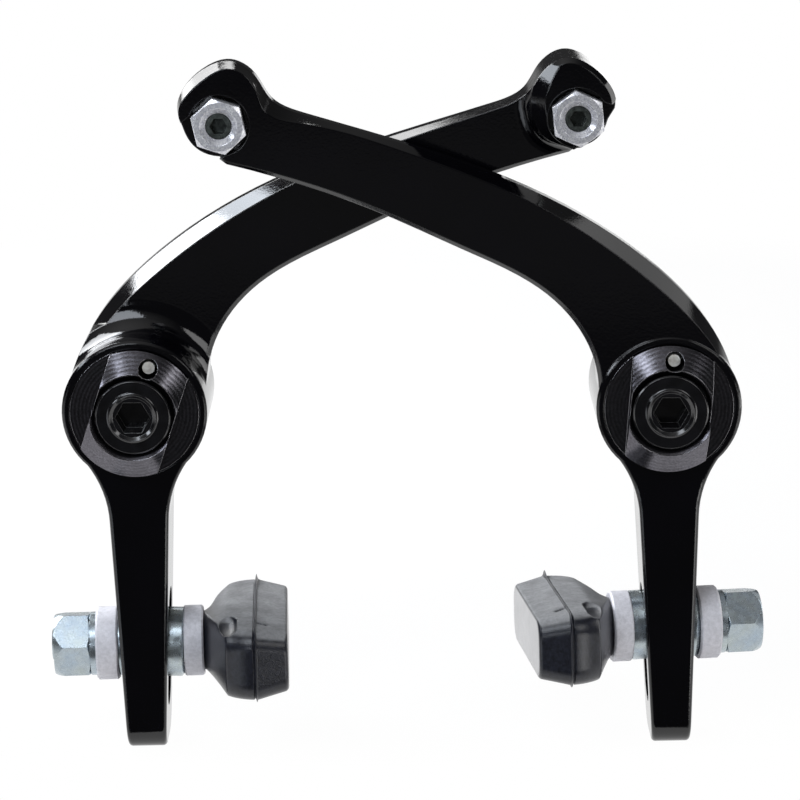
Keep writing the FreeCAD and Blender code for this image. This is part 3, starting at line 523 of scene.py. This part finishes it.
def rounded_box(share, half_long, half_tall, corner):
    """A point of a rounded rectangle at a share from 0 to 4 of its way round.

    Each quarter runs up a straight side, round a corner arc and along the straight top, by arc length;
    the other quarters are the same run mirrored."""
    quarter = np.floor(share) % 4
    run = np.where(quarter % 2 == 0, share - np.floor(share), 1.0 - (share - np.floor(share)))
    straight_long, straight_tall = half_long - corner, half_tall - corner
    arc = corner * math.pi / 2
    way = run * (straight_long + straight_tall + arc)
    angle = np.clip((way - straight_tall) / corner, 0.0, math.pi / 2)
    along = straight_long + corner * np.cos(angle) - np.maximum(way - straight_tall - arc, 0.0)
    up = np.minimum(way, straight_tall) + corner * np.sin(angle)
    along_sign = np.where((quarter == 0) | (quarter == 3), 1.0, -1.0)
    up_sign = np.where(quarter < 2, 1.0, -1.0)
    return along * along_sign, up * up_sign


def eased(at, knots, values):
    """A smooth curve through knots: a cubic in each span whose slopes are the averaged neighbour slopes."""
    knots, values = np.asarray(knots, float), np.asarray(values, float)
    slope = np.gradient(values, knots)
    index = np.clip(np.searchsorted(knots, at) - 1, 0, len(knots) - 2)
    width = knots[index + 1] - knots[index]
    t = (at - knots[index]) / width
    return ((2 * t ** 3 - 3 * t ** 2 + 1) * values[index] + (t ** 3 - 2 * t ** 2 + t) * width * slope[index]
            + (3 * t ** 2 - 2 * t ** 3) * values[index + 1] + (t ** 3 - t ** 2) * width * slope[index + 1])


def swelling(depth, neck, from_neck, to_flash, half, back):
    """A half size that grows with depth: a smooth curve from the neck, at depth nought, to the flash line.

    The first knots are offsets from the neck's radius, the others insets from the half size at the flash."""
    knots = [0.0, *(at for at, _ in from_neck), *(at for at, _ in to_flash), back]
    values = [neck, *(neck + more for _, more in from_neck), *(half - less for _, less in to_flash), half]
    return eased(depth, knots, values)


def pad_surface(sizes):
    """The pad around its own stud: depth from the neck, along the rim (away from the viewer), up.

    Each row is a rounded rectangle across the stud. Its half length and half height follow curves of the
    depth, from the round neck along a straight slope to the nose's edge, over the back to the flash line,
    then in a straight taper to the braking face. A thin hump and groove make the flash line, with a tag at
    its far upper end; a cut beside it and two thumb scoops, each pressed in by a long ball, are added. The
    far end is fuller."""
    back, block = sizes.back / MM, sizes.block / MM
    flash, scoop = sizes.flash / MM, sizes.scoop / MM
    neck = sizes.neck / MM / 2
    half_long, half_tall = sizes.length / MM / 2 - flash, sizes.height / MM / 2 - flash
    deep = back + block
    before, after = back + FLASH_BAND[0], back + FLASH_BAND[1]
    depth = np.concatenate([
        np.linspace(0.0, before - ROW_GAP, BACK_ROWS), back + np.linspace(*FLASH_BAND, FLASH_ROWS),
        np.linspace(after + ROW_GAP, deep - FACE_ROUND - ROW_GAP, BLOCK_ROWS),
        deep - FACE_ROUND + FACE_ROUND * np.sin(np.linspace(0.0, math.pi / 2, EDGE_ROWS))])
    body = np.minimum(depth, back)
    ease = np.clip((body - SLOPE_END) / (back - SLOPE_END), 0.0, 1.0)
    slope = np.interp(body, [0.0, FLARE_DEPTH, SLOPE_END], [neck, neck + FLARE, half_long - SLOPE_INSET])
    near_long = np.where(body < SLOPE_END, slope, half_long - SLOPE_INSET * (1.0 - ease) ** 2)
    far_long = swelling(body, neck, FAR_FROM_NECK, FAR_TO_FLASH, half_long, back)
    tall = swelling(body, neck, TOP_FROM_NECK, TOP_TO_FLASH, half_tall, back)
    # The corner radius falls from nearly the neck's own to that of the block.
    corner = np.interp(depth, [0.0, 1.2, 2.6, 4.0, back - 0.4, back + 0.3, deep],
                       [neck - 0.05, neck - 0.2, 4.1, 3.5, 3.2, 3.0, 2.9])
    block_share = np.clip((depth - back) / block, 0.0, 1.0)
    edge = np.clip((depth - (deep - FACE_ROUND)) / FACE_ROUND, 0.0, 1.0)
    rim = FACE_ROUND * (1.0 - np.sqrt(np.maximum(1.0 - edge ** 2, 0.0)))
    far_share = (far_long / near_long)[:, None]
    long = near_long - TAPER_LONG * block_share - rim
    tall = tall - TAPER_TALL * block_share - rim
    hump = (flash * np.exp(-((depth - back) / FLASH_WIDTH) ** 2)
            - GROOVE_DEPTH * np.exp(-((depth - back + GROOVE_BEFORE) / GROOVE_WIDTH) ** 2))
    share = np.linspace(0.0, 4.0, PAD_COLUMNS, endpoint=False)[None, :]
    y, z = rounded_box(share, (long + hump)[:, None], (tall + hump)[:, None], corner[:, None])
    y = np.where(y > 0.0, y * far_share, y)
    s = np.broadcast_to(depth[:, None], y.shape)
    upper = np.clip((z - UPPER_FROM) / UPPER_OVER, 0.0, 1.0)
    z = z + TAG_HEIGHT * upper * np.exp(
        -((s - back) / TAG_WIDTH) ** 2 - ((y - half_long + TAG_INSET) / TAG_LENGTH) ** 2)
    slant = y + CUT_NEARER + CUT_SLANT * (s - back)
    z = z - CUT_DEPTH * upper * np.exp(
        -(slant / CUT_WIDTH) ** 2 - ((s - back - CUT_PAST_FLASH) / CUT_LENGTH) ** 4)
    for ahead, over in ((-1.0, 1.0), (1.0, -1.0)):
        ball = (SCOOP_DEPTH, ahead * SCOOP_ALONG, over * SCOOP_UP)
        z = pressed(s, y, z, ball, (scoop, SCOOP_HALF_LENGTH, scoop), SCOOP_LIMIT)
    shrink = 1.0 - np.arange(1, FACE_RINGS)[:, None] / FACE_RINGS
    y = np.concatenate([y, y[-1:] * shrink])
    z = np.concatenate([z, z[-1:] * shrink])
    s = np.concatenate([s, np.full((FACE_RINGS - 1, PAD_COLUMNS), deep)])
    poles = np.array([[0.0, 0.0, 0.0], [deep, 0.0, 0.0]])
    return np.stack([s, y, z], axis=-1), poles


def pressed(s, y, z, centre, radii, limit):
    """Heights of a surface into which a long ball is pressed, up to a limit of depth.

    Points inside the ball drop to its skin, along the height."""
    ds, dy, dz = (s - centre[0]) / radii[0], (y - centre[1]) / radii[1], (z - centre[2]) / radii[2]
    inside = (ds ** 2 + dy ** 2 + dz ** 2 < 1.0) & (s < limit)
    skin = radii[2] * np.sqrt(np.maximum(1.0 - ds ** 2 - dy ** 2, 0.0))
    return np.where(inside, centre[2] - math.copysign(1.0, centre[2]) * skin, z)


def pad_marks(points, sizes):
    """Two numbers per point: painted light, a grey where the surface looks up, and the pale braking face.

    The way a point looks is the cross product of the steps along its row and along its column. The painted
    light fades in with how far up that is, and from the neck; the upper scoop keeps little of it, as painted
    shade."""
    along = np.roll(points, -1, axis=1) - np.roll(points, 1, axis=1)
    inward = np.gradient(points, axis=0)
    look = np.cross(along, inward)
    look = look / np.maximum(np.linalg.norm(look, axis=-1, keepdims=True), 1e-9)
    upward = look[..., 2] * np.sign(np.sum(look[..., 1:] * points[..., 1:], axis=-1))
    s, y, z = np.moveaxis(points, -1, 0)
    deep = (sizes.back + sizes.block) / MM
    block = s > sizes.back / MM
    # Painted light: a grey where the surface looks up, fading in from the neck on the back.
    top = np.clip((upward - np.where(block, PAINTED_LIGHT_BLOCK, PAINTED_LIGHT_BACK)) / PAINTED_LIGHT_OVER, 0.0, 1.0)
    top = top * np.where(block, 1.0, np.clip((s - PAINTED_LIGHT_NECK) / PAINTED_LIGHT_NECK_OVER, 0.0, 1.0))
    scooped = ((s - SCOOP_DEPTH) / SCOOP_SHADE_DEEP) ** 2 + ((y + SCOOP_ALONG) / SCOOP_SHADE_LONG) ** 2 < 1.0
    # Painted shade in the upper scoop: it keeps little of the painted light.
    top = np.where(scooped & (z > 0.0) & (s < SCOOP_LIMIT), SCOOP_LIGHT_KEPT * top, top)
    face = np.clip((s - (deep - FACE_SKIN)) / FACE_SKIN_OVER, 0.0, 1.0)
    return top, face


def leg_width(height):
    """Outer and inner side of a leg at a height, in a straight line between its foot and its shoulder."""
    share = (height - FOOT) / (SHOULDER - FOOT)
    return tuple(foot + (shoulder - foot) * share for foot, shoulder in (LEG_OUTER, LEG_INNER))


def turned(first, second, degrees):
    """Two coordinates turned in their plane, from the first towards the second."""
    c, n = math.cos(math.radians(degrees)), math.sin(math.radians(degrees))
    return c * first - n * second, n * first + c * second


def at_pad(points, side):
    """Carry points from the pad's own stud to their place on the brake.

    The pad is pitched a little about its stud. The stud lies inwards from the middle of the leg, turned by
    its toe angle; the leg leans about its pivot, and the left side is the right one mirrored."""
    height, toe, lean, pitch = PAD_STANCE[side]
    outer, inner = leg_width(height)
    reach = (outer - inner) / 2 + PAD_STANDOFF
    y, z = turned(points[..., 1], points[..., 2], -pitch)
    out, y = turned(-(points[..., 0] + reach), y, toe)
    out, z = turned(out + (outer + inner) / 2, z + height, -lean)
    out, y = out + PIVOT_OUT, y + STUD_DEPTH
    return np.stack([out if side == "right" else -out, y, z], axis=-1)


def spring_surface(node):
    """Points in millimetres and triangles of a packed spring.

    Points that share a place, to a thousandth of a millimetre, are merged into one."""
    mesh = node.data
    places = np.empty(3 * len(mesh.vertices), dtype=np.float32)
    mesh.vertices.foreach_get("co", places)
    corners = np.empty(len(mesh.loops), dtype=np.int32)
    mesh.loops.foreach_get("vertex_index", corners)
    points, merged = np.unique(np.round(places.reshape(-1, 3) / MM, 3), axis=0, return_inverse=True)
    faces = merged.ravel()[corners].reshape(-1, 3)
    whole = (faces != np.roll(faces, 1, axis=1)).all(axis=1)
    return points, faces[whole].tolist()


def both(*names):
    """Node names of both sides."""
    return [side + "_" + name for side in SIDES for name in names]


def wear(names, material):
    """Give CAD nodes a material."""
    for name in names:
        frame["nodes"][name].material_slots[0].material = material


def pale_floor(studio):
    """A round pale floor, its front edge under the brake: rings of points about its middle.

    To the camera and in reflections it is white; a share that falls to nothing at its edge shows its
    shadows."""
    low = CAD_BOX[0][2] / MM - FLOOR_DROP
    radius = studio.floor / MM
    middle = radius - FLOOR_FORWARD
    ring, turn = np.meshgrid(np.linspace(FLOOR_INNER, 1.0, FLOOR_RINGS) * radius,
                             np.linspace(0, 2 * math.pi, FLOOR_COLUMNS, endpoint=False), indexing="ij")
    points = np.stack([ring * np.cos(turn), ring * np.sin(turn) + middle, np.full_like(ring, low)], axis=-1)
    faces = ring_quads(FLOOR_RINGS, FLOOR_COLUMNS)[:, ::-1].tolist() + [list(range(FLOOR_COLUMNS))]
    b = NodeBench("pale_floor")
    tone = b.ramp(b.noise(30.0), list(zip(NOISE_RANGE, ((0.86, 0.86, 0.86), (0.9, 0.9, 0.9)))))
    b.dress(Base_Color=tone, Roughness=0.9)
    from_middle = b.add("ShaderNodeVectorMath", operation="LENGTH", Vector=b.counted_from(
        (0.0, middle * MM, low * MM))).outputs["Value"]
    white = b.level(from_middle, FLOOR_WHITE, 1.0, (radius - FLOOR_FADE) * MM, radius * MM)
    camera, mirrored = b.ray_kinds()
    share = b.joined("MULTIPLY", b.joined("MAXIMUM", camera, mirrored), white)
    glow = b.add("ShaderNodeEmission", Color=WHITE, Strength=1.0)
    blend = b.add("ShaderNodeMixShader", Fac=share)
    b.put(blend.inputs[1], b.shader.outputs["BSDF"])
    b.put(blend.inputs[2], glow.outputs["Emission"])
    b.put(b.tree.nodes["Material Output"].inputs["Surface"], blend.outputs["Shader"])
    new_piece("pale_floor", points.reshape(-1, 3), faces, b.material)


def lamp(name, azimuth, elevation, spread, radiance, shape="RECTANGLE", slant=0.0, tint=NEUTRAL):
    """A soft lamp facing the brake.

    The azimuth runs from straight behind to the right and the elevation up; the spread is half the angle
    that its width and height fill, and its power follows from its area and brightness."""
    a, e = math.radians(azimuth), math.radians(elevation)
    way = Vector((math.sin(a) * math.cos(e), math.cos(a) * math.cos(e), math.sin(e)))
    data = bpy.data.lights.new(name, "AREA")
    data.shape = shape
    data.color = tint
    data.size, data.size_y = (2 * LAMP_AWAY * math.tan(math.radians(part)) for part in spread)
    data.energy = radiance * math.pi * data.size * data.size_y
    obj = bpy.data.objects.new(name, data)
    obj.location = LAMP_AWAY * way
    facing = (-way).to_track_quat("-Z", "Y") @ Quaternion((0.0, 0.0, 1.0), math.radians(slant))
    obj.rotation_euler = facing.to_euler()
    obj.visible_camera = False
    bpy.context.scene.collection.objects.link(obj)


def soft_lamps():
    """A large key at the left, smaller lamps in front, at both sides and behind, and low ones in front."""
    lamp("key", -54.0, 36.0, (18.0, 15.0), 9.5, tint=PALE)
    lamp("key_edge", -30.0, 33.0, (5.0, 9.0), 4.5, tint=COOL)
    lamp("front", -152.0, 44.0, (13.0, 13.0), 5.0, tint=COOL)
    lamp("right_side", 75.0, 8.0, (14.0, 22.0), 2.4)
    lamp("right_front", 135.0, 30.0, (11.0, 11.0), 2.6)
    lamp("left_spot", -105.0, 29.0, (8.0, 8.0), 6.0, "ELLIPSE", tint=COOL)
    lamp("back_left", -13.0, 17.0, (15.0, 4.5), 2.0, slant=-36.0)
    lamp("back_right", 10.0, 3.0, (5.0, 4.5), 1.2)
    lamp("back_glow", 44.0, 25.0, (12.0, 10.0), 0.4, "ELLIPSE")
    lamp("front_left", -138.0, -12.0, (11.0, 10.0), 1.3, tint=COOL)
    lamp("pad_glint", -163.0, 8.0, (5.0, 4.0), 7.0, tint=COOL)
    lamp("head_rim", -21.5, 17.0, (6.5, 8.0), 2.4)
    lamp("low_front", 180.0, -6.5, (16.0, 3.5), 0.06)
    lamp("front_right", 138.0, -12.0, (11.0, 10.0), 3.0)


def surroundings(scene):
    """A dark room over a white backdrop that lies behind and below; the camera sees white all round."""
    scene.world = bpy.data.worlds.new("studio_room")
    b = RoomBench(scene.world)
    way = b.add("ShaderNodeSeparateXYZ", Vector=b.place).outputs
    below = b.level(way["Z"], 1.0, 0.0, *BACKDROP_EDGE)
    beside = b.level(way["Y"], 0.0, 1.0, *BACKDROP_SIDES)
    under = b.level(way["Z"], 1.0, 0.0, *BACKDROP_UNDER)
    backdrop = b.joined("MULTIPLY", below, b.joined("MAXIMUM", beside, under))
    top = b.joined("MULTIPLY", b.level(way["Z"], 0.0, TOP_GREY, *TOP_RANGE),
                   b.level(way["X"], 1.0, TOP_RIGHT, *TOP_ACROSS))
    room = b.joined("MAXIMUM", b.level(backdrop, ROOM_GREY, 1.0), b.joined("MAXIMUM", top, ROOM_GREY))
    grey = b.add("ShaderNodeCombineColor")
    for socket in grey.inputs:
        b.put(socket, room)
    camera, mirrored = b.ray_kinds()
    white = b.joined("MAXIMUM", camera, b.joined("MULTIPLY", mirrored, backdrop))
    b.dress(Color=b.mixed(white, grey.outputs["Color"], WHITE))


def place_camera(scene, studio):
    """The camera in front of the brake, looking down at its elevation and rolled a little."""
    e, roll, away = studio.elevation, studio.roll, studio.distance
    forward = Vector((0.0, math.cos(e), -math.sin(e)))
    right = Vector((1.0, 0.0, 0.0))
    up = right.cross(forward)
    across = math.cos(roll) * right - math.sin(roll) * up
    rise = math.sin(roll) * right + math.cos(roll) * up
    target = Vector((0.0, AIM_DEPTH * MM, 0.0)) + AIM_ACROSS * MM * across + AIM_RISE * MM * rise
    data = bpy.data.cameras.new("photo_camera")
    data.lens = studio.lens
    data.sensor_width = SENSOR_WIDTH
    data.clip_start, data.clip_end = CLIP_START, CLIP_END
    camera = bpy.data.objects.new("photo_camera", data)
    turn = Matrix((across, rise, -forward)).transposed()
    camera.matrix_world = Matrix.Translation(target - away * forward) @ turn.to_4x4()
    scene.collection.objects.link(camera)
    scene.camera = camera


class BRAKE_OT_arms(bpy.types.Operator):
    """Give both arms their gloss black paint"""

    bl_idname = "brake.arms"
    bl_label = "Paint arms"

    def execute(self, context):
        wear(both("arm"), gloss_black(tuple(context.scene.brake_finishes.arm_black)))
        return {"FINISHED"}


class BRAKE_OT_pivots(bpy.types.Operator):
    """Finish the spring adjusters, pivot bolts and bushes"""

    bl_idname = "brake.pivots"
    bl_label = "Finish pivots"

    def execute(self, context):
        finishes = context.scene.brake_finishes
        for side in SIDES:
            wear([side + "_spring_adjuster"], turned_black(tuple(finishes.cap_black), side))
        wear(both("pivot_bolt"), black_oxide(tuple(finishes.bolt_black)))
        wear(both("pivot_bush"), bearing_bronze(tuple(finishes.bronze)))
        return {"FINISHED"}


class BRAKE_OT_springs(bpy.types.Operator):
    """Set in the two return springs as merged copies of the packed ones"""

    bl_idname = "brake.springs"
    bl_label = "Set in springs"

    def execute(self, context):
        wire = drawn_wire(tuple(context.scene.brake_finishes.spring_steel))
        for side in SIDES:
            node = side + "_return_spring"
            wear([node], wire)
            piece = new_piece(side + "_wound_spring", *spring_surface(frame["nodes"][node]), wire)
            piece.data.set_sharp_from_angle(angle=math.radians(SPRING_SHARP))
            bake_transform(piece)
            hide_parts(node)
        return {"FINISHED"}


class BRAKE_OT_hardware(bpy.types.Operator):
    """Plate the nuts, washers, bolts and studs and finish the dished rings"""

    bl_idname = "brake.hardware"
    bl_label = "Plate hardware"

    def execute(self, context):
        finishes = context.scene.brake_finishes
        plated = ("anchor_washer", "inner_dome_washer", "outer_dome_washer", "flat_washer", "pad_nut",
                  "pad_stud", "pivot_sleeve")
        wear(both(*plated), zinc_plate(tuple(finishes.zinc)))
        wear(both("anchor_nut"), dull_zinc(tuple(finishes.nut_zinc)))
        wear(both("anchor_bolt"), dark_steel(tuple(finishes.bolt_steel)))
        wear(both("inner_dish_ring", "outer_dish_ring"), satin_silver(tuple(finishes.ring_silver)))
        return {"FINISHED"}


class BRAKE_OT_pads(bpy.types.Operator):
    """Mould the two rubber pads"""

    bl_idname = "brake.pads"
    bl_label = "Mould pads"

    def execute(self, context):
        sizes = context.scene.brake_pads
        rubber = pad_rubber(context.scene.brake_finishes)
        points, poles = pad_surface(sizes)
        top, face = pad_marks(points, sizes)
        faces = tube_faces(*points.shape[:2])
        for side in SIDES:
            placed = np.concatenate([at_pad(points, side).reshape(-1, 3), at_pad(poles, side)])
            order = faces if side == "left" else [corner[::-1] for corner in faces]
            # Each pad carries its painted light, a grey where it looks up, and its pale face as numbers per
            # point.
            piece = new_piece(side + "_moulded_pad", placed, order, rubber, {
                "painted_top_light": np.append(top.ravel(), [0.0, 0.0]), "face": np.append(face.ravel(), [0.0, 1.0])})
            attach(piece, side + "_arm_group")
            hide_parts(side + "_brake_pad")
        return {"FINISHED"}


class BRAKE_OT_studio(bpy.types.Operator):
    """Set up the floor, the lamps, the surroundings and the camera"""

    bl_idname = "brake.studio"
    bl_label = "Set up studio"

    def execute(self, context):
        scene = context.scene
        scene.view_settings.view_transform = "Standard"
        pale_floor(scene.brake_studio)
        soft_lamps()
        surroundings(scene)
        place_camera(scene, scene.brake_studio)
        return {"FINISHED"}


class BRAKE_PT_panel(bpy.types.Panel):
    """Sizes, colours and steps of the rim brake"""

    bl_idname = "BRAKE_PT_panel"
    bl_label = "Rim brake"
    bl_space_type = "VIEW_3D"
    bl_region_type = "UI"
    bl_category = "Rim brake"

    def draw(self, context):
        scene, layout = context.scene, self.layout
        for group in (scene.brake_finishes, scene.brake_pads, scene.brake_studio):
            box = layout.box()
            for key in group.__annotations__:
                box.prop(group, key)
        for operator in STEPS:
            layout.operator(operator.bl_idname)


GROUPS = (BrakeFinishes, PadSizes, StudioSizes)
STEPS = (BRAKE_OT_arms, BRAKE_OT_pivots, BRAKE_OT_springs, BRAKE_OT_hardware, BRAKE_OT_pads, BRAKE_OT_studio)


def register():
    """Add the classes and the scene's settings."""
    for item in (*GROUPS, *STEPS, BRAKE_PT_panel):
        bpy.utils.register_class(item)
    bpy.types.Scene.brake_finishes = bpy.props.PointerProperty(type=BrakeFinishes)
    bpy.types.Scene.brake_pads = bpy.props.PointerProperty(type=PadSizes)
    bpy.types.Scene.brake_studio = bpy.props.PointerProperty(type=StudioSizes)


def unregister():
    """Remove the scene's settings and the classes."""
    del bpy.types.Scene.brake_finishes
    del bpy.types.Scene.brake_pads
    del bpy.types.Scene.brake_studio
    for item in reversed((*GROUPS, *STEPS, BRAKE_PT_panel)):
        bpy.utils.unregister_class(item)


def main():
    """Dress the brake step by step."""
    register()
    bpy.ops.brake.arms()
    bpy.ops.brake.pivots()
    bpy.ops.brake.springs()
    bpy.ops.brake.hardware()
    bpy.ops.brake.pads()
    bpy.ops.brake.studio()
    bpy.context.view_layer.update()


if __name__ == "__main__":
    main()
